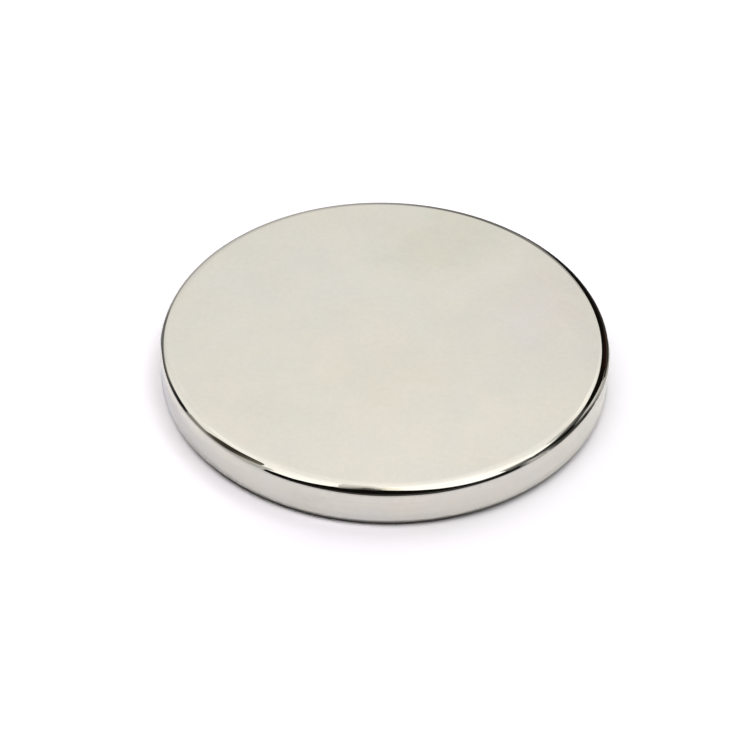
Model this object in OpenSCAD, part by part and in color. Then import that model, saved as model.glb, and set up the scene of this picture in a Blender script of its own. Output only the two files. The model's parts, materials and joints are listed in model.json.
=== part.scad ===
// Disc magnet: one round slice of sintered magnet, plated all over, with both rims rounded.
// It lies on one pole face. That face is the plane z = 0 and the z axis is the disc's axis,
// along which it is magnetised, so the other pole face is the plane z = disc_t.

/* [Disc] */
// Outside diameter, measured over the straight wall
disc_d = 18; // [10:0.5:40]
// Thickness from one pole face to the other
disc_t = 2; // [1.5:0.1:6]

/* [Rims] */
// Radius of the rounding between each pole face and the wall
rim_r = 0.45; // [0.1:0.05:0.7]

/* [Hidden] */
$fn = 180;
// Radius of the straight wall
wall_radius = disc_d / 2;
// Radius of the flat part of each pole face, where its rounding begins
face_radius = wall_radius - rim_r;
// Height of the straight wall between the two roundings
wall_h = disc_t - 2 * rim_r;
// Nickel as it looks on a plated magnet: a bright grey with a little warmth
plate_color = [0.84, 0.83, 0.79];

// Half of the section through the axis, with the axis along the left side.
// The faces and the wall run into each rounding without a step.
module half_section() {
    // From pole face to pole face, as wide as the flat of the faces
    square([face_radius, disc_t]);
    // Out to the straight wall, between the two roundings
    translate([0, rim_r])
        square([wall_radius, wall_h]);
    // One rounding at each rim, the lower and the upper
    for (z = [rim_r, disc_t - rim_r])
        translate([face_radius, z])
            circle(r = rim_r);
}

// The whole magnet: the section turned once round the axis.
module disc_magnet() {
    color(plate_color)
        rotate_extrude()
            half_section();
}

disc_magnet();
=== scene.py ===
"""Looks of a nickel-plated disc magnet that lies on one pole face on a pale table."""

import json
import logging
import math
from collections.abc import Iterable
from dataclasses import dataclass
from enum import Enum

import bmesh
import bpy
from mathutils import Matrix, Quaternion, Vector

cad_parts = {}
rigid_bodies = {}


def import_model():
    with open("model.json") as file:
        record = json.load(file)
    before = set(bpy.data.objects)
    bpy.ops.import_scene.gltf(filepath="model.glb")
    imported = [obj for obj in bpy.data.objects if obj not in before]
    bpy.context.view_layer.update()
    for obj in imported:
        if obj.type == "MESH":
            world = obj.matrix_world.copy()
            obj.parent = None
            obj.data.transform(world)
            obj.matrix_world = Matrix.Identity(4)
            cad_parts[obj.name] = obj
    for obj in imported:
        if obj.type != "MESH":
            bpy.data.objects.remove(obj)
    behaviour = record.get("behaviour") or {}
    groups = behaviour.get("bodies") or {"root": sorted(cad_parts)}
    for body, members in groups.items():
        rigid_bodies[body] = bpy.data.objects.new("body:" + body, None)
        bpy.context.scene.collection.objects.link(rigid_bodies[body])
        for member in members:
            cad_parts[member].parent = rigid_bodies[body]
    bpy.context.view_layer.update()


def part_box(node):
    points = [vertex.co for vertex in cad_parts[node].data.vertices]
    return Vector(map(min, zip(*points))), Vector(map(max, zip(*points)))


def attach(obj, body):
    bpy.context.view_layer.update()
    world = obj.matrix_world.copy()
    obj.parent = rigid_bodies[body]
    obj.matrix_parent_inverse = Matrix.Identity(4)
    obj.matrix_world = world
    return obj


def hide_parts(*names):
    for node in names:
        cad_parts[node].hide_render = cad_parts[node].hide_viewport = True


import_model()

LOG = logging.getLogger("disc_magnet")

Colour = tuple[float, float, float]
Point = tuple[float, float, float]
Socket = bpy.types.NodeSocket
# Where a border starts, how bright it is there, and the same for its end.
Border = tuple[Vector, float, Vector, float]

WHITE: Colour = (1.0, 1.0, 1.0)
# The mesh attribute that holds how bright each point of a stage piece is.
SHADE = "shade"


class Seen(Enum):
    """What a stage piece shows itself to."""

    EYE = "the eye"
    PLATING = "all of the plating"
    PLATING_AND_TABLE = "all of the plating and the table"
    # Pieces shown to the sharp upper rounding are painted reflections in it, which the faces and the wall
    # don't mirror; those shown to the table too also light it.
    ROUNDING = "the sharp upper rounding"
    ROUNDING_AND_TABLE = "the sharp upper rounding and the table"


@dataclass(frozen=True)
class Pattern:
    """A cloudy pattern between 0 and 1, about 0.5 in the middle.

    Args:
        scale: Clouds to a unit of the place.
        detail: How many finer layers it has.
        roughness: How strong they are.
        turn: A shift that makes it unlike the other patterns.
    """

    scale: float
    detail: float
    roughness: float
    turn: float = 0.0

    def shift(self) -> Point:
        """Returns how far the pattern is moved along each axis."""
        return (self.turn, self.turn * 0.7, self.turn * 1.3)


@dataclass
class Shader:
    """A node tree that is being wired, with short calls for what the finishes need.

    Args:
        tree: The tree of a material or of the world.
    """

    tree: bpy.types.NodeTree

    @classmethod
    def blank(cls, owner: bpy.types.Material | bpy.types.World) -> "Shader":
        """Empties a node tree.

        Args:
            owner: The material or the world that the tree belongs to.

        Returns:
            The tree, ready for wiring.
        """
        owner.use_nodes = True
        owner.node_tree.nodes.clear()
        return cls(owner.node_tree)

    def node(self, kind: str, **settings: object) -> bpy.types.Node:
        """Adds a node.

        Args:
            kind: The node's type name, without its leading ShaderNode.
            settings: Attributes of the node, by name.

        Returns:
            The new node.
        """
        made = self.tree.nodes.new("ShaderNode" + kind)
        for name, value in settings.items():
            setattr(made, name, value)
        return made

    def link(self, source: Socket, target: Socket) -> None:
        """Joins an output to an input."""
        self.tree.links.new(source, target)

    def feed(self, value: Socket | float | Colour, target: Socket) -> None:
        """Gives an input its value.

        Args:
            value: An output, a number, or a colour without its alpha.
            target: The input.
        """
        if isinstance(value, Socket):
            self.link(value, target)
        elif isinstance(value, tuple):
            target.default_value = (*value, 1.0)
        else:
            target.default_value = value

    def math(self, operation: str, first: Socket | float, second: Socket | float) -> Socket:
        """Adds a Math node.

        Args:
            operation: The node's operation.
            first: What it starts from.
            second: What it works with.

        Returns:
            The result.
        """
        made = self.node("Math", operation=operation)
        self.feed(first, made.inputs[0])
        self.feed(second, made.inputs[1])
        return made.outputs[0]

    def mix(
        self, share: Socket, first: Socket | Colour, second: Socket | Colour, way: str = "MIX"
    ) -> Socket:
        """Adds a mix of two colours.

        Args:
            share: How much of the second colour there is.
            first: The first colour.
            second: The second colour.
            way: The node's blend type.

        Returns:
            The mixed colour.
        """
        made = self.node("Mix", data_type="RGBA", blend_type=way)
        self.link(share, made.inputs["Factor"])
        first_colour, second_colour = (end for end in made.inputs if end.type == "RGBA")
        self.feed(first, first_colour)
        self.feed(second, second_colour)
        return next(end for end in made.outputs if end.type == "RGBA")

    def millimetres(self) -> Socket:
        """Reads the place on the object.

        Returns:
            The place, in millimetres.
        """
        scaled = self.node("Mapping")
        scaled.inputs["Scale"].default_value = (1000.0, 1000.0, 1000.0)
        self.link(self.node("TexCoord").outputs["Object"], scaled.inputs["Vector"])
        return scaled.outputs[0]

    def noise(self, place: Socket, pattern: Pattern) -> Socket:
        """Adds a cloudy pattern.

        Args:
            place: Where it is read.
            pattern: The pattern.

        Returns:
            The pattern's value.
        """
        shifted = self.node("Mapping")
        shifted.inputs["Location"].default_value = pattern.shift()
        self.link(place, shifted.inputs["Vector"])
        made = self.node("TexNoise")
        made.inputs["Scale"].default_value = pattern.scale
        made.inputs["Detail"].default_value = pattern.detail
        made.inputs["Roughness"].default_value = pattern.roughness
        self.link(shifted.outputs[0], made.inputs["Vector"])
        return made.outputs["Fac"]

    def swing(self, pattern: Socket, most: float) -> Socket:
        """Turns a pattern into a change about 0, which goes up and down by the given most."""
        return self.math("MULTIPLY", self.math("SUBTRACT", pattern, 0.5), most * 2)

    def ramp(self, value: Socket, low: float, high: float) -> Socket:
        """Adds a soft step.

        Args:
            value: What it reads.
            low: The value that becomes 0.
            high: The value that becomes 1. It may be the smaller one.

        Returns:
            The step.
        """
        made = self.node("MapRange", interpolation_type="SMOOTHSTEP")
        self.link(value, made.inputs["Value"])
        made.inputs["From Min"].default_value = low
        made.inputs["From Max"].default_value = high
        return made.outputs["Result"]

    def length(self, vector: Socket) -> Socket:
        """Measures a vector.

        Args:
            vector: The vector.

        Returns:
            Its length.
        """
        made = self.node("VectorMath", operation="LENGTH")
        self.link(vector, made.inputs[0])
        return made.outputs["Value"]

    def shown(self, surface: Socket, mask: Socket) -> Socket:
        """Makes a surface clear in places.

        Args:
            surface: The surface.
            mask: 1 where it is there and 0 where it is clear.

        Returns:
            The mixed surface.
        """
        mixed = self.node("MixShader")
        self.link(mask, mixed.inputs["Fac"])
        self.link(self.node("BsdfTransparent").outputs[0], mixed.inputs[1])
        self.link(surface, mixed.inputs[2])
        return mixed.outputs[0]

    def finish(self, surface: Socket, output: str = "OutputMaterial") -> None:
        """Joins a surface to a new output node, whose type is given without its leading ShaderNode."""
        self.link(surface, self.node(output).inputs["Surface"])


@dataclass(frozen=True)
class TonePatch:
    """One faint lighter or darker patch in the colour of a pole face.

    Args:
        x: Its middle, to the right of the magnet's own, in millimetres.
        y: Its middle, behind the magnet's own.
        along: Half of its length.
        across: Half of its width.
        turn: Direction of its length, in degrees from the right towards the back.
        tint: What it leaves of the plating's colour.
        tall: Half of its height, which reaches through the magnet.
    """

    x: float
    y: float
    along: float
    across: float
    turn: float
    tint: Colour
    tall: float = 1000.0


@dataclass(frozen=True)
class NickelPlate:
    """Bright nickel plating: a mirror on the upper rounding, a little hazy and mottled on the faces.

    Args:
        warm: What the yellower places reflect straight on, in linear light.
        cool: What the bluer places reflect.
        roughness: Roughness of the wall and the lower rounding.
        face_roughness: Roughness of the pole faces.
        worn_roughness: How much rougher the paler clouds are.
        face_radius: Radius of the flat of a pole face, in millimetres.
        upper_rounding: Height where the wall turns into the upper rounding, in millimetres.
        face_fade: How far outside and inside the flat's edge its finish fades, in millimetres.
        sharp_fade: How far to each side of its edges the upper rounding's does.
        mottle: How far the cloudy patches on the faces lighten and darken the plating.
        grain: How far the fine grain does.
        ripple: Height of the soft ripple, in metres.
        grain_height: Height of the grain, in shares of the ripple's.
        patch_drift: How far the patches' edges wander, in shares of their size.
        clouds: Pattern of the cloudy patches.
        hues: Pattern of the yellower and bluer places.
        grains: Pattern of the grain.
        ripples: Pattern of the ripple.
        drifts: Pattern of the patches' edges.
        hue_step: From the yellower places to the bluer ones.
        worn_step: From the darker clouds to the paler ones.
        patch_step: From outside a patch to its full tint.
        tone_patches: The faint lighter and darker patches on the faces.
    """

    warm: Colour = (0.738, 0.7, 0.614)
    cool: Colour = (0.722, 0.694, 0.624)
    roughness: float = 0.045
    face_roughness: float = 0.1
    worn_roughness: float = 0.03
    face_radius: float = 8.55
    upper_rounding: float = 1.55
    face_fade: tuple[float, float] = (0.12, 0.15)
    sharp_fade: float = 0.03
    mottle: float = 0.04
    grain: float = 0.038
    ripple: float = 1.2e-6
    grain_height: float = 0.08
    patch_drift: float = 0.8
    clouds: Pattern = Pattern(0.42, 3.0, 0.55)
    hues: Pattern = Pattern(0.6, 4.0, 0.6, turn=7.0)
    grains: Pattern = Pattern(5.5, 2.0, 0.6, turn=3.0)
    ripples: Pattern = Pattern(1.1, 2.0, 0.5, turn=11.0)
    drifts: Pattern = Pattern(0.7, 3.0, 0.6, turn=17.0)
    hue_step: tuple[float, float] = (0.36, 0.64)
    worn_step: tuple[float, float] = (0.4, 0.75)
    patch_step: tuple[float, float] = (1.35, 0.35)
    tone_patches: tuple[TonePatch, ...] = (
        TonePatch(2.4, 6.2, 3.4, 2.0, 36, (0.955, 0.964, 0.935)),
        TonePatch(3.9, 3.7, 3.2, 0.9, 50, (1.028, 1.026, 1.03)),
        TonePatch(8.4, 1.8, 3.8, 1.1, 98, (0.955, 0.95, 0.965)),
        TonePatch(6.2, 1.6, 2.6, 1.5, 80, (1.0, 0.985, 1.01)),
        TonePatch(0.3, -2.2, 2.4, 1.8, 20, (0.98, 0.98, 0.965)),
        TonePatch(-3.9, -4.4, 2.2, 1.3, 15, (0.975, 0.98, 0.975)),
        TonePatch(4.7, -5.0, 2.9, 1.6, 55, (1.025, 1.025, 1.015)),
        TonePatch(-2.5, -3.5, 6.0, 4.0, 10, (1.0, 1.0, 0.985)),
        TonePatch(-3.5, 3.5, 5.0, 2.8, 20, (0.998, 1.005, 1.015)),
    )

    def build(self, name: str) -> bpy.types.Material:
        """Wires the plating.

        Args:
            name: The material's name.

        Returns:
            The material.
        """
        material = bpy.data.materials.new(name)
        shader = Shader.blank(material)
        place = shader.millimetres()
        face, dull = self.masks(shader, place)
        clouds = shader.noise(place, self.clouds)
        grain = shader.noise(place, self.grains)
        cloudy = shader.math("MULTIPLY", shader.swing(clouds, self.mottle), face)
        level = shader.math("ADD", shader.math("ADD", cloudy, shader.swing(grain, self.grain)), 1.0)
        shade = shader.node("VectorMath", operation="SCALE")
        shader.link(self.toned(shader, place, face), shade.inputs[0])
        shader.link(level, shade.inputs["Scale"])
        hazy = shader.math("MULTIPLY", face, self.face_roughness - self.roughness)
        worn = shader.math("MULTIPLY", shader.ramp(clouds, *self.worn_step), self.worn_roughness)
        rough = shader.math("ADD", shader.math("ADD", hazy, self.roughness), worn)
        surface = shader.node("BsdfPrincipled")
        surface.inputs["Metallic"].default_value = 1.0
        shader.link(shade.outputs[0], surface.inputs["Base Color"])
        shader.link(shader.math("MULTIPLY", rough, dull), surface.inputs["Roughness"])
        shader.link(self.bumps(shader, place, grain), surface.inputs["Normal"])
        shader.finish(surface.outputs["BSDF"])
        return material

    def masks(self, shader: Shader, place: Socket) -> tuple[Socket, Socket]:
        """Masks the parts of the magnet that differ in finish.

        Args:
            shader: The plating's nodes.
            place: The place on the magnet, in millimetres.

        Returns:
            1 on the flats, falling softly to 0 on the rims; and 0 on the upper rounding, 1 elsewhere.
        """
        flat = shader.node("VectorMath", operation="MULTIPLY")
        shader.link(place, flat.inputs[0])
        flat.inputs[1].default_value = (1.0, 1.0, 0.0)
        out = shader.length(flat.outputs[0])
        axis = shader.node("SeparateXYZ")
        shader.link(place, axis.inputs[0])
        outside, inside = self.face_fade
        face = shader.ramp(out, self.face_radius + outside, self.face_radius - inside)
        fade = self.sharp_fade
        flats = shader.ramp(out, self.face_radius + fade, self.face_radius - fade)
        below = shader.ramp(axis.outputs["Z"], self.upper_rounding + fade, self.upper_rounding - fade)
        return face, shader.math("MAXIMUM", flats, below)

    def toned(self, shader: Shader, place: Socket, face: Socket) -> Socket:
        """Colours the plating, with the faint clouds on the faces.

        Args:
            shader: The plating's nodes.
            place: The place on the magnet, in millimetres.
            face: The mask of the faces.

        Returns:
            The colour.
        """
        hue = shader.ramp(shader.noise(place, self.hues), *self.hue_step)
        colour = shader.mix(hue, self.warm, self.cool)
        drift = shader.swing(shader.noise(place, self.drifts), self.patch_drift)
        for patch in self.tone_patches:
            around = shader.node("Mapping", vector_type="TEXTURE")
            around.inputs["Location"].default_value = (patch.x, patch.y, 0.0)
            around.inputs["Rotation"].default_value = (0.0, 0.0, math.radians(patch.turn))
            around.inputs["Scale"].default_value = (patch.along, patch.across, patch.tall)
            shader.link(place, around.inputs["Vector"])
            away = shader.math("ADD", shader.length(around.outputs[0]), drift)
            inside = shader.math("MULTIPLY", shader.ramp(away, *self.patch_step), face)
            colour = shader.mix(inside, colour, patch.tint, way="MULTIPLY")
        return colour

    def bumps(self, shader: Shader, place: Socket, grain: Socket) -> Socket:
        """Ripples the plating softly and roughens it with its grain.

        Args:
            shader: The plating's nodes.
            place: The place on the magnet, in millimetres.
            grain: The fine grain.

        Returns:
            The direction that the surface faces.
        """
        ripple = shader.node("Bump")
        ripple.inputs["Distance"].default_value = self.ripple
        shader.link(shader.noise(place, self.ripples), ripple.inputs["Height"])
        fine = shader.node("Bump")
        fine.inputs["Distance"].default_value = self.ripple * self.grain_height
        shader.link(grain, fine.inputs["Height"])
        shader.link(ripple.outputs[0], fine.inputs["Normal"])
        return fine.outputs[0]


@dataclass
class DiscMagnet:
    """The magnet: a flat disc on the table, with a straight wall between two rounded rims.

    Args:
        diameter: Over the straight wall.
        thickness: From one pole face to the other.
        rim_radius: Of the rounding at each rim.
        segments: Steps round the disc.
        rim_segments: Steps in each rounding.
        border: Width of the strip just inside each flat's edge, in shares of the rounding.
        merge: Points nearer to each other than this become one.
    """

    diameter: float = 0.018
    thickness: float = 0.002
    rim_radius: float = 0.00045
    segments: int = 360
    rim_segments: int = 20
    border: float = 0.1
    merge: float = 1e-7

    def build(self) -> bpy.types.Object:
        """Turns the disc from a round blank and rounds both rims.

        Returns:
            The magnet, without a finish.
        """
        shape = bmesh.new()
        bmesh.ops.create_circle(shape, cap_ends=True, segments=self.segments, radius=self.diameter / 2)
        raised = bmesh.ops.extrude_face_region(shape, geom=shape.faces[:])
        top = [item for item in raised["geom"] if isinstance(item, bmesh.types.BMVert)]
        bmesh.ops.translate(shape, verts=top, vec=(0, 0, self.thickness))
        rims = [edge for edge in shape.edges if edge.verts[0].co.z == edge.verts[1].co.z]
        bmesh.ops.bevel(
            shape, geom=rims, offset=self.rim_radius, offset_type="OFFSET", affect="EDGES",
            segments=self.rim_segments, profile=0.5, material=-1, clamp_overlap=True,
        )
        bmesh.ops.remove_doubles(shape, verts=shape.verts, dist=self.merge)
        flats = [face for face in shape.faces if len(face.verts) == self.segments]
        border = self.rim_radius * self.border
        bmesh.ops.inset_region(shape, faces=flats, thickness=border, use_even_offset=True)
        bmesh.ops.recalc_face_normals(shape, faces=shape.faces)
        for face in shape.faces:
            face.smooth = True
        mesh = bpy.data.meshes.new("magnet_body")
        shape.to_mesh(mesh)
        shape.free()
        piece = bpy.data.objects.new("magnet_body", mesh)
        bpy.context.collection.objects.link(piece)
        return piece

    def dress(self, piece: bpy.types.Object) -> None:
        """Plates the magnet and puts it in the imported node's place.

        Args:
            piece: The magnet.
        """
        piece.data.materials.append(NickelPlate().build("bright_nickel"))
        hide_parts("disc_magnet")
        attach(piece, "root")


def stage_piece(
    name: str, shape: bmesh.types.BMesh, material: bpy.types.Material, seen: Seen | None = None
) -> None:
    """Turns a mesh into a piece of the stage.

    Args:
        name: The piece's name.
        shape: Its mesh, which is freed.
        material: What covers it.
        seen: What it shows itself to, without a shadow of its own, if it isn't a plain piece.
    """
    mesh = bpy.data.meshes.new(name)
    shape.to_mesh(mesh)
    shape.free()
    mesh.materials.append(material)
    piece = bpy.data.objects.new(name, mesh)
    bpy.context.collection.objects.link(piece)
    if seen is not None:
        piece.visible_camera = piece.visible_transmission = seen is Seen.EYE
        piece.visible_glossy = seen is not Seen.EYE
        piece.visible_diffuse = seen in (Seen.PLATING_AND_TABLE, Seen.ROUNDING_AND_TABLE)
        piece.visible_shadow = False


def bridged(borders: Iterable[Border]) -> bmesh.types.BMesh:
    """Makes a strip of panes.

    Args:
        borders: The borders between them, in order.

    Returns:
        The strip.
    """
    shape = bmesh.new()
    shade = shape.verts.layers.float.new(SHADE)
    edges = []
    for start, start_shade, end, end_shade in borders:
        first, last = shape.verts.new(start), shape.verts.new(end)
        first[shade], last[shade] = start_shade, end_shade
        edges.append(shape.edges.new((first, last)))
    for pair in zip(edges, edges[1:]):
        bmesh.ops.bridge_loops(shape, edges=list(pair))
    return shape


def shaded_glow(name: str, tint: Colour, seen: Seen) -> bpy.types.Material:
    """Makes a plain light whose brightness follows the mesh's own shade.

    Args:
        name: The material's name.
        tint: Its colour at a shade of 1.
        seen: What it shows itself to.

    Returns:
        The material.
    """
    material = bpy.data.materials.new(name)
    material.cycles.emission_sampling = "NONE"
    shader = Shader.blank(material)
    glow = shader.node("Emission")
    shader.feed(tint, glow.inputs["Color"])
    shader.link(shader.node("Attribute", attribute_name=SHADE).outputs["Fac"], glow.inputs["Strength"])
    surface = glow.outputs[0]
    # Shown only to rays off the sharp rounding, and maybe to the table's soft light: a painted reflection
    # in the rounding.
    if seen in (Seen.ROUNDING, Seen.ROUNDING_AND_TABLE):
        path = shader.node("LightPath").outputs
        sharp_or_soft = shader.math("MAXIMUM", path["Is Singular Ray"], path["Is Diffuse Ray"])
        surface = shader.shown(surface, sharp_or_soft)
    shader.finish(surface)
    return material


def painted_shade_and_light_film(name: str, seen: Seen) -> bpy.types.Material:
    """Makes a clear film that paints shade by the mesh's own shade, and painted light where that shade
    passes 1.

    Args:
        name: The material's name.
        seen: What it shows itself to.

    Returns:
        The material.
    """
    material = bpy.data.materials.new(name)
    shader = Shader.blank(material)
    film = shader.node("BsdfTransparent")
    shader.link(shader.node("Attribute", attribute_name=SHADE).outputs["Color"], film.inputs["Color"])
    surface = film.outputs[0]
    if seen is Seen.ROUNDING:
        surface = shader.shown(surface, shader.node("LightPath").outputs["Is Singular Ray"])
    shader.finish(surface)
    return material


@dataclass
class Table:
    """The pale table that the magnet lies on.

    Args:
        half_width: Half of its side.
        paper: Its colour to soft light.
        seen: Its colour to the eye.
        mirrored: Its colour in the plating.
    """

    half_width: float = 0.48
    paper: Colour = (0.9, 0.88, 0.9)
    seen: Colour = (1.165, 1.125, 1.19)
    mirrored: Colour = (0.993, 0.984, 1.04)

    def build(self) -> None:
        """Makes and paints the table top."""
        shape = bmesh.new()
        bmesh.ops.create_grid(shape, x_segments=1, y_segments=1, size=self.half_width)
        stage_piece("table", shape, self.paint())

    def paint(self) -> bpy.types.Material:
        """Makes the table's white paper.

        Returns:
            The material.
        """
        material = bpy.data.materials.new("white_paper")
        shader = Shader.blank(material)
        path = shader.node("LightPath").outputs
        lit = shader.mix(path["Is Glossy Ray"], self.paper, self.mirrored)
        eye = shader.math("MAXIMUM", path["Is Camera Ray"], path["Is Transmission Ray"])
        paper = shader.node("BsdfDiffuse")
        shader.link(shader.mix(eye, lit, self.seen), paper.inputs["Color"])
        shader.finish(paper.outputs[0])
        return material


@dataclass(frozen=True)
class Upright:
    """One upright of a screen.

    Args:
        azimuth: Where it stands, in degrees, 0 behind the magnet and 90 at its right.
        low: Height of its foot, in degrees above the table.
        high: Height of its head.
        foot: Brightness at its foot, 1 as white.
        head: Brightness at its head.
    """

    azimuth: float
    low: float
    high: float
    foot: float
    head: float

    def border(self, distance: float) -> Border:
        """Places the upright.

        Args:
            distance: From the magnet.

        Returns:
            A border between two panes.
        """
        side = math.radians(self.azimuth)
        ends = []
        for height in (math.radians(self.low), math.radians(self.high)):
            out = distance * math.cos(height)
            ends.append(Vector((out * math.sin(side), out * math.cos(side), distance * math.sin(height))))
        return ends[0], self.foot, ends[1], self.head


@dataclass
class Screen:
    """A screen that stands round part of the table, bright or dark, as the plating mirrors it.

    Args:
        name: The screen's name.
        distance: From the magnet.
        uprights: Its uprights, in order.
        tint: Its colour.
        seen: What it shows itself to.
        halvings: How often its panes are halved, to round it.
    """

    name: str
    distance: float
    uprights: tuple[Upright, ...]
    tint: Colour = WHITE
    seen: Seen = Seen.ROUNDING_AND_TABLE
    halvings: int = 3

    def build(self) -> None:
        """Makes and lights the screen."""
        shape = bridged(upright.border(self.distance) for upright in self.uprights)
        for _ in range(self.halvings):
            bmesh.ops.subdivide_edges(shape, edges=shape.edges[:], cuts=1, use_grid_fill=True)
        for vert in shape.verts:
            vert.co = vert.co.normalized() * self.distance
        bmesh.ops.recalc_face_normals(shape, faces=shape.faces)
        stage_piece(self.name, shape, shaded_glow(self.name, self.tint, self.seen), self.seen)


@dataclass(frozen=True)
class Edge:
    """One edge of a card: it starts near the magnet and runs off across the table.

    Args:
        x: Where it starts, to the right of the magnet's middle, in shares of the magnet's radius.
        y: Where it starts, behind the middle.
        azimuth: Where it runs to, in degrees, 0 behind the magnet and 90 at its right.
        shade: Brightness along it, 1 as white.
    """

    x: float
    y: float
    azimuth: float
    shade: float


@dataclass
class Card:
    """A card that lies flat on the table beside the magnet and shows only in the sharp rounding: a painted
    reflection in it, dark or light.

    Args:
        name: The card's name.
        edges: Its edges, in order.
        radius: The magnet's radius.
        tint: Its colour.
        lift: Height above the table.
        reach: How far it runs, in shares of the radius.
    """

    name: str
    edges: tuple[Edge, ...]
    radius: float
    tint: Colour = WHITE
    lift: float = 0.00001
    reach: float = 80.0

    def build(self) -> None:
        """Makes and lights the card."""
        up = Vector((0.0, 0.0, self.lift))
        borders = []
        for edge in self.edges:
            side = math.radians(edge.azimuth)
            start = Vector((edge.x, edge.y, 0.0)) * self.radius
            end = start + Vector((math.sin(side), math.cos(side), 0.0)) * self.reach * self.radius
            borders.append((start + up, edge.shade, end + up, edge.shade))
        shape = bridged(borders)
        bmesh.ops.recalc_face_normals(shape, faces=shape.faces)
        stage_piece(self.name, shape, shaded_glow(self.name, self.tint, Seen.ROUNDING), Seen.ROUNDING)


@dataclass(frozen=True)
class Ring:
    """One ring of a film.

    Args:
        radius: In shares of the magnet's radius.
        right: How much light is left there at the right.
        front: How much is left in front.
        left: How much is left at the left.
    """

    radius: float
    right: float
    front: float
    left: float


@dataclass
class Film:
    """A clear film round the magnet that paints shade, and in places light, onto what lies under it, such
    as the painted contact shadow at its foot.

    Args:
        name: The film's name.
        rings: Its rings, the innermost first.
        turns: Azimuths where the right ends, where the front starts and ends, and where the left starts.
        tints: Its colours at the right, in front and at the left.
        seen: What it shows itself to.
        radius: The magnet's radius.
        lift: Height above the table.
        segments: Steps round it.
        tint_end: Where the tints end, in shares of the radius.
        tint_fade: How far inside that they are full.
        back_start: Azimuth where the left gives way to the right, behind the magnet.
        back_width: How far round from there it takes, in degrees.
    """

    name: str
    rings: tuple[Ring, ...]
    turns: tuple[float, float, float, float]
    tints: tuple[Colour, Colour, Colour]
    seen: Seen
    radius: float
    lift: float = 0.00002
    segments: int = 180
    tint_end: float = 1.13
    tint_fade: float = 0.07
    back_start: float = 300.0
    back_width: float = 120.0

    def build(self) -> None:
        """Lays the film round the magnet."""
        shape = bmesh.new()
        shade = shape.verts.layers.float_color.new(SHADE)
        rims = []
        for ring in self.rings:
            radius = ring.radius * self.radius
            made = bmesh.ops.create_circle(shape, segments=self.segments, radius=radius)
            for vert in made["verts"]:
                azimuth = math.degrees(math.atan2(vert.co.x, vert.co.y)) % 360
                vert[shade] = (*self.left_over(ring, azimuth), 1.0)
            rims.append(list({edge for vert in made["verts"] for edge in vert.link_edges}))
        for pair in zip(rims, rims[1:]):
            bmesh.ops.bridge_loops(shape, edges=pair[0] + pair[1])
        bmesh.ops.translate(shape, verts=shape.verts, vec=(0, 0, self.lift))
        stage_piece(self.name, shape, painted_shade_and_light_film(self.name, self.seen), self.seen)

    def left_over(self, ring: Ring, azimuth: float) -> Colour:
        """Works out what the film leaves of the light.

        Args:
            ring: The ring.
            azimuth: Where on the ring, in degrees, 0 behind the magnet and 90 at its right.

        Returns:
            The light that is left, by colour.
        """
        shares = self.sides(azimuth)
        level = sum(share * left for share, left in zip(shares, (ring.right, ring.front, ring.left)))
        depth = min(max((self.tint_end - ring.radius) / self.tint_fade, 0.0), 1.0)
        tint = [sum(share * hue for share, hue in zip(shares, band)) for band in zip(*self.tints)]
        red, green, blue = (level * (1 + (hue - 1) * depth) for hue in tint)
        return red, green, blue

    def sides(self, azimuth: float) -> tuple[float, float, float]:
        """Finds what side an azimuth is on.

        Args:
            azimuth: In degrees, 0 behind the magnet and 90 at its right.

        Returns:
            How much it belongs to the right, to the front and to the left.
        """
        right_end, front_start, front_end, left_start = self.turns
        into_back = (azimuth - self.back_start) % 360
        if into_back < self.back_width:
            right = into_back / self.back_width
            return right, 0.0, 1.0 - right
        if azimuth < front_start:
            right = min((front_start - azimuth) / (front_start - right_end), 1.0)
            return right, 1.0 - right, 0.0
        left = min(max((azimuth - front_end) / (left_start - front_end), 0.0), 1.0)
        return 0.0, 1.0 - left, left


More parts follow.
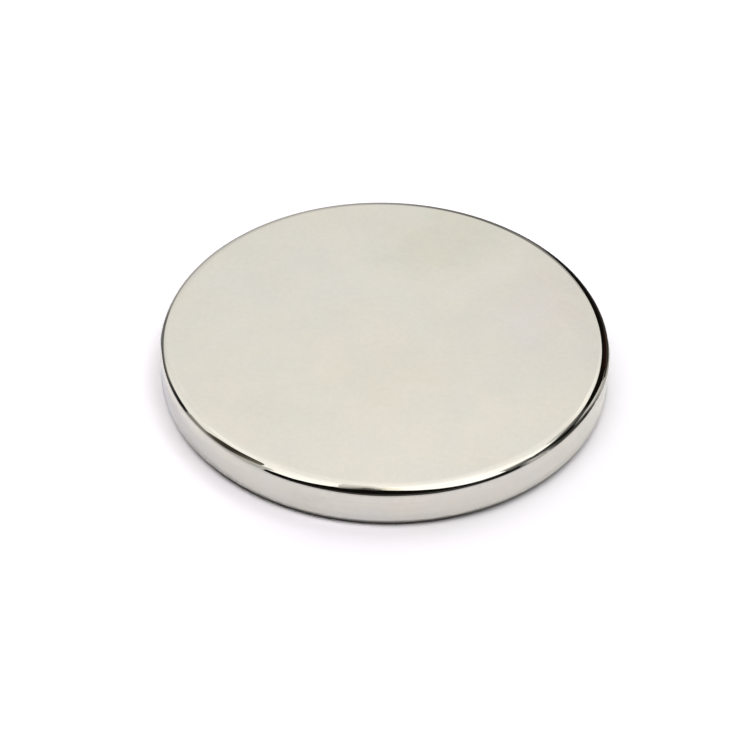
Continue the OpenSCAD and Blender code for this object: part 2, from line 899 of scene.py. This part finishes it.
@dataclass
class Studio:
    """The soft light round the magnet: a white room, with what the plating mirrors standing in it. Most
    screens and all the cards are mirrored only by the sharp upper rounding, not by the faces or the wall:
    painted reflections in it; those that the table sees also light it.

    Args:
        radius: The magnet's radius.
        black: Brightness of the dark screens.
        umber: Tint of the brownish dark screens.
        straw: Tint of the yellowish gap between the panels.
        mahogany: Tint of the door.
    """

    radius: float
    black: float = 0.006
    umber: Colour = (1.0, 0.9, 0.75)
    straw: Colour = (1.0, 0.99, 0.89)
    mahogany: Colour = (1.0, 0.42, 0.34)

    def build(self) -> None:
        """Lights the room, stands up the screens and lays out the cards and the films."""
        self.room()
        self.backdrop()
        self.ceiling()
        self.panels()
        self.dark_room()
        self.left_side()
        self.right_side()
        self.table_cards()
        self.films()

    def room(self) -> None:
        """Paints the room white."""
        world = bpy.data.worlds.new("white_room")
        bpy.context.scene.world = world
        shader = Shader.blank(world)
        walls = shader.node("Background")
        shader.feed(WHITE, walls.inputs["Color"])
        shader.finish(walls.outputs[0], "OutputWorld")

    def backdrop(self) -> None:
        """Hangs the backdrop, which the faces and the wall mirror from every side."""
        sides = (
            (-70, 0.7, 1.0, 1.05), (-30, 0.66, 0.88, 1.06), (-8, 0.6, 0.76, 1.07), (0, 0.6, 0.82, 1.09),
            (5, 0.6, 0.79, 1.04), (10, 0.6, 0.78, 1.03), (40, 0.6, 0.8, 1.05), (90, 0.68, 0.9, 1.05),
            (135, 0.7, 0.9, 1.06), (180, 0.66, 0.9, 1.06), (235, 0.7, 0.92, 1.06), (290, 0.7, 1.0, 1.05),
        )
        upper = [(azimuth, 30, 45, middle, head) for azimuth, _, middle, head in sides]
        lower = [(azimuth, -1, 30, foot, middle) for azimuth, foot, middle, _ in sides]
        self.screen("backdrop", 0.98, *upper, seen=Seen.PLATING_AND_TABLE)
        self.screen("backdrop_foot", 0.98, *lower, seen=Seen.PLATING)
        self.screen(
            "backdrop_head", 0.98, (0, 45, 70, 1.09, 1.0), (30, 45, 70, 1.04, 1.0), (90, 45, 70, 1.05, 1.0),
            (135, 45, 70, 1.06, 1.0), (180, 45, 70, 1.06, 1.0), (235, 45, 70, 1.06, 1.0),
            (290, 45, 70, 1.05, 1.0), (330, 45, 70, 1.06, 1.0), (352, 45, 70, 1.07, 1.0),
            (360, 45, 70, 1.09, 1.0), seen=Seen.PLATING,
        )

    def ceiling(self) -> None:
        """Hangs the ceiling, the skylight in it, and the pale horizon at the left and behind."""
        self.screen(
            "ceiling", 0.95, (0, 45, 68, 1.09, 1.2), (30, 45, 68, 1.06, 1.18), (60, 45, 68, 1.05, 1.22),
            (90, 45, 68, 1.2, 1.3), (120, 45, 68, 1.3, 1.3), (150, 45, 68, 1.3, 1.3),
            (180, 45, 68, 1.3, 1.3), (220, 45, 68, 1.3, 1.3), (260, 45, 68, 1.2, 1.3),
            (300, 45, 68, 1.0, 1.24), (330, 45, 68, 0.98, 1.2), (345, 45, 68, 1.02, 1.16),
            (360, 45, 68, 1.09, 1.2),
        )
        self.screen(
            "skylight", 0.95, (0, 68, 90, 1.2, 1.28), (30, 68, 90, 1.18, 1.28), (60, 68, 90, 1.25, 1.28),
            (90, 68, 90, 1.35, 1.28), (120, 68, 90, 1.3, 1.28), (150, 68, 90, 1.25, 1.28),
            (180, 68, 90, 1.2, 1.28), (220, 68, 90, 1.25, 1.28), (260, 68, 90, 1.3, 1.28),
            (300, 68, 90, 1.1, 1.16), (330, 68, 90, 1.1, 1.22), (360, 68, 90, 1.2, 1.28),
        )
        self.screen(
            "horizon", 0.97, (230, -1, 30, 0.95, 1.0), (290, -1, 30, 0.95, 1.0), (312, -1, 30, 0.8, 0.95),
            (320, -1, 30, 0.88, 0.95), (328, -1, 30, 0.9, 0.98), (338, -1, 30, 0.76, 0.92),
            (350, -1, 30, 0.65, 0.76), (376, -1, 30, 0.6, 0.6),
        )

    def panels(self) -> None:
        """Hangs the bright panels over the camera, the gap between them, and the glow at both sides."""
        self.screen(
            "right_panel", 0.92, (76, 47, 62, 1.15, 1.15), (83, 40, 68, 1.3, 1.25),
            (90, 35, 76, 1.45, 1.35), (104, 32, 82, 1.55, 1.45), (118, 20, 84, 1.55, 1.5),
            (145, 24, 84, 1.55, 1.5), (168, 38, 84, 1.55, 1.5), (173, 46, 82, 1.3, 1.3),
        )
        self.screen(
            "left_panel", 0.92, (206, 38, 80, 1.45, 1.4), (214, 32, 79, 1.5, 1.45), (222, 26, 77, 1.5, 1.4),
            (236, 26, 68, 1.45, 1.35), (246, 40, 60, 1.3, 1.25),
        )
        self.screen(
            "yellow_gap", 0.885, (166, 52, 72, 1.4, 1.4), (172, 54, 74, 1.15, 1.35),
            (176, 54, 74, 1.1, 1.3), (180, 56, 74, 0.6, 1.0), (184, 58, 74, 0.3, 0.8), tint=self.straw,
        )
        # Shows only in the sharp rounding: a painted grey reflection in it.
        self.screen(
            "grey_cloud", 0.884, (184, 68, 82, 0.75, 1.1), (190, 66, 84, 0.5, 1.05),
            (197, 56, 85, 0.4, 0.85), (202.5, 44, 86, 0.5, 0.88), (208, 60, 86, 0.8, 0.9),
            (214, 68, 86, 0.85, 0.92), (220, 74, 86.5, 0.9, 0.95), (240, 79.5, 87, 0.95, 1.0),
            (262, 82, 88, 1.0, 1.02), seen=Seen.ROUNDING,
        )
        self.screen(
            "grey_flag", 0.9, (58, 38, 48, 0.85, 0.95), (66, 37, 50, 0.5, 0.8), (73, 36, 50, 0.5, 0.8),
            (79, 35, 47, 0.65, 0.95), (84, 34, 42, 0.8, 1.1),
        )
        self.screen(
            "right_glow", 0.89, (14, 34, 44, 0.95, 1.1), (22, 32, 45, 0.85, 1.3), (32, 33, 47, 0.88, 1.35),
            (40, 35, 48, 1.15, 1.25), (58, 38, 46, 1.1, 1.1),
        )
        self.screen(
            "left_glow", 0.89, (270, 34, 52, 1.1, 1.12), (280, 26, 54, 1.12, 1.08), (292, 16, 58, 1.1, 1.1),
            (310, 16, 62, 1.0, 1.03),
        )
        # Shows only in the sharp rounding: a painted highlight in it.
        self.screen(
            "left_sheen", 0.885, (268, 52, 60, 1.1, 1.15), (277, 49, 62, 1.25, 1.3),
            (285, 46.5, 63, 1.3, 1.32), (294, 47.5, 64, 1.28, 1.3), (303, 51, 64, 1.2, 1.22),
            (313, 55, 62, 1.12, 1.15), seen=Seen.ROUNDING,
        )
        # Shows only in the sharp rounding: a painted reflection in it.
        self.screen(
            "left_haze", 0.965, (308, 26, 42, 0.98, 1.02), (318, 26, 42, 0.97, 1.0),
            (328, 26, 42, 0.99, 0.99), (336, 26, 42, 0.97, 1.0), (345, 26, 42, 0.88, 1.03),
            (353, 27, 43, 0.78, 1.06), (357, 30, 45, 0.8, 1.08), seen=Seen.ROUNDING,
        )

    def dark_room(self) -> None:
        """Stands up the dark room behind the camera and at the right."""
        self.screen(
            "far_post", 0.86, (-6, 14, 34, 0.75, 0.85), (-2, 13, 36, 0.55, 0.75), (2, 11, 37, 0.3, 0.45),
            (6, 8, 36, 0.2, 0.24), (10, 6, 36, 0.2, 0.35), (12.5, 6, 34, 0.35, 0.5),
        )
        # The right wall shows only in the sharp rounding: a painted dark reflection in it.
        self.dark(
            "right_wall", 0.8, (14, 15), (15.5, 31), (20, 32.5), (30, 33), (36, 34), (40, 35), (46, 37),
            (52, 37), (58, 37.5), (66, 40), (72, 39), (80, 36), (88, 33), (92, 32), (100, 33), (108, 31),
            (113, 29), (118, 22), seen=Seen.ROUNDING,
        )
        self.dark(
            "dark_wall", 0.8, (118, 22), (126, 18), (134, 19), (144, 26), (152, 33), (158, 39.5),
            (162, 42.5), (168, 48), (178, 53), (183, 56), (185, 67), (194, 70), (195.5, 56), (200, 52),
            (202, 44), (208, 39), (214, 33), (222, 26), (230, 23), (234, 19),
        )
        self.screen(
            "low_shelf", 0.79, (3, -1, 10, 0.19, 0.19), (8, -1, 14, 0.17, 0.17), (11, -1, 23, 0.2, 0.24),
            (13.5, -1, 24, 0.22, 0.3), (14.8, -1, 24, 0.1, 0.14), (16, -1, 24, 0.008, 0.012),
        )
        # Shows only in the sharp rounding: a painted dark reflection in it.
        self.screen(
            "low_haze", 0.79, (118, -1, 4, 0.03, 0.01), (130, -1, 8, 0.06, 0.01), (148, -1, 12, 0.1, 0.012),
            (160, -1, 12, 0.13, 0.012), (180, -1, 14, 0.13, 0.012), (200, -1, 12, 0.1, 0.012),
            (216, -1, 8, 0.05, 0.01), (232, -1, 6, 0.03, 0.006), seen=Seen.ROUNDING,
        )
        # Shows only in the sharp rounding: a painted dark reflection in it.
        self.screen(
            "high_haze", 0.79, (62, 29, 40, 0.02, 0.15), (68, 22, 40, 0.03, 0.2), (74, 25, 39, 0.04, 0.25),
            (80, 24, 37, 0.015, 0.2), (86, 26, 34, 0.008, 0.12), (92, 28, 32, 0.008, 0.1),
            seen=Seen.ROUNDING,
        )
        # Shows only in the sharp rounding: a painted dark reflection in it.
        self.screen(
            "soft_corner", 0.79, (180, 44, 57, 0.008, 0.1), (184, 46, 60, 0.01, 0.25),
            (187, 48, 68, 0.012, 0.3), (191, 46, 70, 0.015, 0.22), (194.5, 44, 66, 0.04, 0.4),
            (198, 42, 58, 0.15, 0.45), (202, 38, 50, 0.22, 0.5), seen=Seen.ROUNDING,
        )

    def left_side(self) -> None:
        """Stands up what the left of the rim mirrors."""
        self.screen(
            "grey_cloth", 0.78, (234, -1, 38, 0.55, 0.7), (238, -1, 40, 0.5, 0.65),
            (244, -1, 30, 0.55, 0.5), (252, -1, 24, 0.5, 0.4), (260, -1, 18, 0.35, 0.25),
            (266, -1, 20, 0.28, 0.3), (274, -1, 19, 0.22, 0.4), (281, -1, 19, 0.2, 0.4),
        )
        self.screen(
            "pillar", 0.75, (241, 30, 34, 0.2, 0.2), (244, 26, 43, 0.15, 0.18), (248, 18, 48.5, 0.1, 0.17),
            (252, 11, 52, 0.06, 0.12), (256, 8, 54, 0.05, 0.03), (262, 7, 51, 0.08, 0.03),
            (266, 9, 44, 0.13, 0.06), (269, 12, 38, 0.17, 0.2), tint=self.umber,
        )
        self.screen(
            "low_block", 0.74, (281, -1, 14, 0.006, 0.006), (286, -1, 17, 0.012, 0.02),
            (292, -1, 15, 0.03, 0.04), (296, -1, 13, 0.07, 0.1), (301, -1, 9, 0.15, 0.25),
            (310, -1, 7, 0.18, 0.4), (320, -1, 3, 0.24, 0.5),
        )
        self.screen(
            "far_edge", 0.76, (-42, -1, 3, 0.3, 0.7), (-30, -1, 8, 0.5, 0.8), (-15, -1, 14, 0.5, 0.7),
            (-5, -1, 17, 0.45, 0.6), (0, -1, 20, 0.3, 0.45), (3, -1, 12, 0.1, 0.3),
        )

    def right_side(self) -> None:
        """Stands up what the right of the rim mirrors in front of the dark room."""
        self.screen(
            "door", 0.77, (35, -1, 18, 0.014, 0.01), (38, -1, 23, 0.02, 0.014), (44, -1, 24, 0.024, 0.016),
            (50, -1, 16, 0.03, 0.014), tint=self.mahogany,
        )
        self.screen(
            "light_post", 0.74, (50, -1, 0, 0.75, 0.7), (56, -1, 2, 0.75, 0.7), (60, -1, 7, 0.8, 0.7),
            (66, 0, 15, 0.8, 0.7), (70, 2, 19, 0.68, 0.65), (74, 7, 20, 0.5, 0.5), (78, 8, 20, 0.2, 0.22),
            (81, 8, 19, 0.09, 0.13),
        )
        # Shows only in the sharp rounding: a painted dark reflection in it.
        self.screen(
            "dim_board", 0.785, (76, -1, 8, 0.06, 0.03), (82, -1, 12, 0.09, 0.01), (86, -1, 12, 0.1, 0.01),
            (90, -1, 16, 0.09, 0.012), (95, -1, 24, 0.08, 0.03), (99, -1, 30, 0.18, 0.08),
            (104, -1, 31, 0.3, 0.1), seen=Seen.ROUNDING,
        )
        # Shows only in the sharp rounding: a painted dark reflection in it.
        self.screen(
            "soft_edge", 0.784, (102, 22, 31, 0.08, 0.14), (108, 19, 31, 0.06, 0.18),
            (114, 14, 31, 0.05, 0.27), (119, 11, 31, 0.03, 0.3), (121, 13, 27, 0.05, 0.4),
            seen=Seen.ROUNDING,
        )
        # Shows only in the sharp rounding: a painted reflection in it, bright at its head.
        self.screen(
            "bright_edge", 0.783, (102, 31, 38, 0.14, 0.8), (108, 31, 40, 0.18, 0.9),
            (114, 31, 41, 0.27, 1.0), (119, 31, 40, 0.3, 1.2), (121, 27, 34, 0.4, 1.4), seen=Seen.ROUNDING,
        )
        self.screen(
            "light_board", 0.73, (98, -1, 1, 0.3, 0.2), (101, -1, 7, 0.5, 0.38), (105, -1, 14, 0.64, 0.5),
            (110, -1, 20, 0.72, 0.34), (113, -1, 20, 0.34, 0.16), (116, -1, 16, 0.1, 0.05),
        )

    def table_cards(self) -> None:
        """Lays the cards on the table, painted reflections that only the sharp rounding shows, in the lower
        half of it.
        """
        self.card(
            "back_card", (0.2, 1.3, 6, 0.22), (0.45, 1.05, 13, 0.16), (0.62, 0.88, 20, 0.02),
            (0.88, 0.6, 28, 0.03),
        )
        self.card(
            "side_card", (0.88, 0.6, 28, 0.03), (1.12, 0.42, 38, 0.055), (1.28, 0.27, 48, 0.05),
            (1.5, 0.22, 57, 0.04), tint=self.umber,
        )
        self.card(
            "side_shade", (1.02, 0.2, 40, 0.42), (1.1, 0.02, 46, 0.48), (1.15, -0.08, 52, 0.55),
            (1.25, -0.15, 62, 0.6), (1.4, -0.1, 70, 0.7), lift=0.000008,
        )
        self.card(
            "right_card", (1.4, 0.02, 64, 0.45), (1.42, -0.06, 70, 0.2), (1.45, -0.18, 75, 0.04),
            (1.65, -0.3, 80, 0.1), (1.9, -0.48, 87, 0.15), (1.95, -0.68, 94, 0.08), (2.1, -0.8, 97, 0.2),
            (2.2, -0.95, 100, 0.5),
        )
        self.card(
            "front_card", (2.2, -0.98, 101, 0.5), (2.2, -1.2, 107, 0.45), (2.05, -1.45, 113, 0.14),
            (1.6, -1.5, 122, 0.02), (1.5, -1.75, 130, 0.012), (1.4, -2.0, 138, 0.012),
            (1.15, -2.1, 146, 0.012), (0.7, -2.2, 155, 0.012), (0.5, -3.1, 163, 0.03),
            (0.0, -3.0, 178, 0.012), (-0.6, -3.2, 190, 0.012), (-1.5, -3.7, 203, 0.012),
            (-2.0, -3.2, 215, 0.012), (-1.9, -2.5, 225, 0.02), (-2.6, -2.7, 235, 0.02),
        )
        self.card(
            "left_card", (-2.2, -1.7, 240, 0.9), (-2.4, -1.2, 252, 0.75), (-2.8, -0.75, 264, 0.5),
            (-2.6, -0.3, 281, 0.2), (-2.1, -0.05, 284, 0.02), (-1.9, 0.1, 290, 0.035),
            (-1.66, 0.22, 297, 0.08), (-1.4, 0.3, 305, 0.15), (-1.15, 0.22, 315, 0.19),
            (-1.02, 0.2, 325, 0.17), (-1.03, 0.28, 328, 0.36), (-1.05, 0.4, 333, 0.44),
            (-1.0, 0.5, 338, 0.48), (-0.9, 0.7, 342, 0.48), (-0.6, 1.0, 350, 0.45), (0.0, 1.2, 360, 0.35),
            (0.2, 1.3, 366, 0.2),
        )

    def films(self) -> None:
        """Lays the films of painted shade and light: the contact shadow at the magnet's foot, its image in
        the plating, and the shade round it in the wall's and the rounding's reflections.
        """
        # Painted contact shadow on the table at the magnet's foot, for the eye, with painted light beside
        # it where a value passes 1.
        self.film(
            "painted_contact_shadow_and_light", (0.9, 0.2, 0.5, 0.3), (0.966, 0.3, 0.95, 0.6), (0.98, 0.6, 1.5, 0.85),
            (0.99, 0.78, 1.54, 1.02), (1.0, 0.88, 1.4, 1.08), (1.01, 0.96, 1.19, 1.02),
            (1.025, 0.985, 1.01, 1.0), (1.05, 0.99, 0.96, 1.045), (1.08, 0.99, 0.965, 1.09),
            (1.11, 0.985, 0.965, 1.1), (1.15, 0.985, 0.98, 1.06), (1.22, 1.0, 1.0, 1.0),
            turns=(150, 188, 194, 235), tints=((0.975, 1.0, 0.975), WHITE, (0.99, 1.0, 0.985)),
            seen=Seen.EYE,
        )
        # Painted shadow at the foot, with painted light beside it where a value passes 1, shown only in the
        # plating's reflection of the table.
        self.film(
            "mirrored_painted_shadow_and_light", (0.9, 0.4, 0.05, 0.4), (0.985, 0.6, 0.07, 0.58), (1.0, 0.68, 0.1, 0.67),
            (1.005, 0.8, 0.15, 0.77), (1.015, 1.02, 0.28, 0.98), (1.025, 1.1, 0.42, 1.08),
            (1.038, 1.1, 0.7, 1.06), (1.05, 1.08, 0.95, 1.04), (1.08, 1.03, 1.0, 1.05),
            (1.12, 1.01, 1.0, 1.12), (1.18, 1.0, 1.0, 1.16), (1.3, 1.0, 1.0, 1.12), (1.5, 1.0, 1.0, 1.0),
            turns=(104, 163, 222, 250),
            tints=((0.99, 0.995, 0.965), (0.99, 1.0, 1.03), (0.968, 0.972, 1.025)), seen=Seen.PLATING,
        )
        # Painted shade on the table in front, shown only in the plating's reflection, which darkens a patch
        # of the wall.
        self.film(
            "painted_wall_shade", (1.02, 1.0, 1.0, 1.0), (1.05, 1.0, 0.945, 1.0), (1.12, 1.0, 0.935, 1.0),
            (1.2, 1.0, 1.0, 1.0), turns=(192, 199, 204, 211), seen=Seen.PLATING,
        )
        # Painted shade round the magnet, shown only in the sharp rounding's reflection of the table.
        self.film(
            "painted_rounding_shade", (1.15, 1.0, 1.0, 1.0), (1.3, 0.88, 1.0, 1.0), (1.45, 0.88, 0.88, 0.98),
            (1.6, 0.97, 0.77, 0.9), (1.8, 1.0, 0.74, 0.84), (2.5, 1.0, 0.76, 0.83), (4.0, 1.0, 0.9, 0.83),
            (8.0, 1.0, 1.0, 0.84), (25.0, 1.0, 1.0, 0.88), (60.0, 1.0, 1.0, 1.0), turns=(86, 104, 218, 242),
            seen=Seen.ROUNDING,
        )

    def screen(
        self,
        name: str,
        distance: float,
        *uprights: tuple[float, ...],
        tint: Colour = WHITE,
        seen: Seen = Seen.ROUNDING_AND_TABLE,
    ) -> None:
        """Stands up a screen from each upright's azimuth, foot and head, and the brightness at both."""
        Screen(name, distance, tuple(Upright(*upright) for upright in uprights), tint, seen).build()

    def dark(
        self, name: str, distance: float, *tops: tuple[float, float], seen: Seen = Seen.ROUNDING_AND_TABLE
    ) -> None:
        """Stands up a dark screen from each upright's azimuth and height."""
        uprights = [(azimuth, -1, top, self.black, self.black) for azimuth, top in tops]
        self.screen(name, distance, *uprights, tint=self.umber, seen=seen)

    def card(
        self, name: str, *edges: tuple[float, ...], tint: Colour = WHITE, lift: float = 0.00001
    ) -> None:
        """Lays a card on the table from the start, azimuth and brightness of each edge."""
        Card(name, tuple(Edge(*edge) for edge in edges), self.radius, tint, lift).build()

    def film(
        self,
        name: str,
        *rings: tuple[float, float, float, float],
        turns: tuple[float, float, float, float],
        tints: tuple[Colour, Colour, Colour] = (WHITE, WHITE, WHITE),
        seen: Seen,
    ) -> None:
        """Lays a film from each ring's radius and what it leaves at the right, in front and at the left."""
        Film(name, tuple(Ring(*ring) for ring in rings), turns, tints, seen, self.radius).build()


@dataclass
class ViewCamera:
    """The camera, above the table's front edge.

    Args:
        elevation: Above the table, in degrees.
        roll: Turn about its own line of sight, in degrees.
        distance: From the middle of the magnet's lower face.
        target: Where it looks, on the table.
        lens: Focal length, in millimetres.
        sensor: Width of the sensor, in millimetres.
        nearest: Nearest distance that it shows.
        farthest: Farthest distance that it shows.
    """

    elevation: float = 41.104
    roll: float = 1.204
    distance: float = 0.126
    target: Point = (-0.000374, -0.000058, 0.0)
    lens: float = 149.58
    sensor: float = 36.0
    nearest: float = 0.005
    farthest: float = 20.0

    def build(self) -> None:
        """Places the camera."""
        data = bpy.data.cameras.new("camera")
        data.lens = self.lens
        data.sensor_width = self.sensor
        data.clip_start = self.nearest
        data.clip_end = self.farthest
        camera = bpy.data.objects.new("camera", data)
        up = math.radians(self.elevation)
        camera.location = Vector((0.0, -math.cos(up), math.sin(up))) * self.distance
        aim = (Vector(self.target) - camera.location).to_track_quat("-Z", "Y")
        camera.rotation_mode = "QUATERNION"
        camera.rotation_quaternion = aim @ Quaternion((0.0, 0.0, 1.0), math.radians(self.roll))
        bpy.context.collection.objects.link(camera)
        bpy.context.scene.camera = camera


def main() -> None:
    """Builds the magnet, the table, the light and the camera, in that order."""
    logging.basicConfig(level=logging.INFO, format="%(name)s: %(message)s")
    low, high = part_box("disc_magnet")
    magnet = DiscMagnet(thickness=round(high.z - low.z, 5))
    piece = magnet.build()
    magnet.dress(piece)
    LOG.info("magnet_body: %d faces", len(piece.data.polygons))
    Table().build()
    Studio(radius=magnet.diameter / 2).build()
    ViewCamera().build()
    bpy.context.scene.view_settings.view_transform = "Standard"


if __name__ == "__main__":
    main()
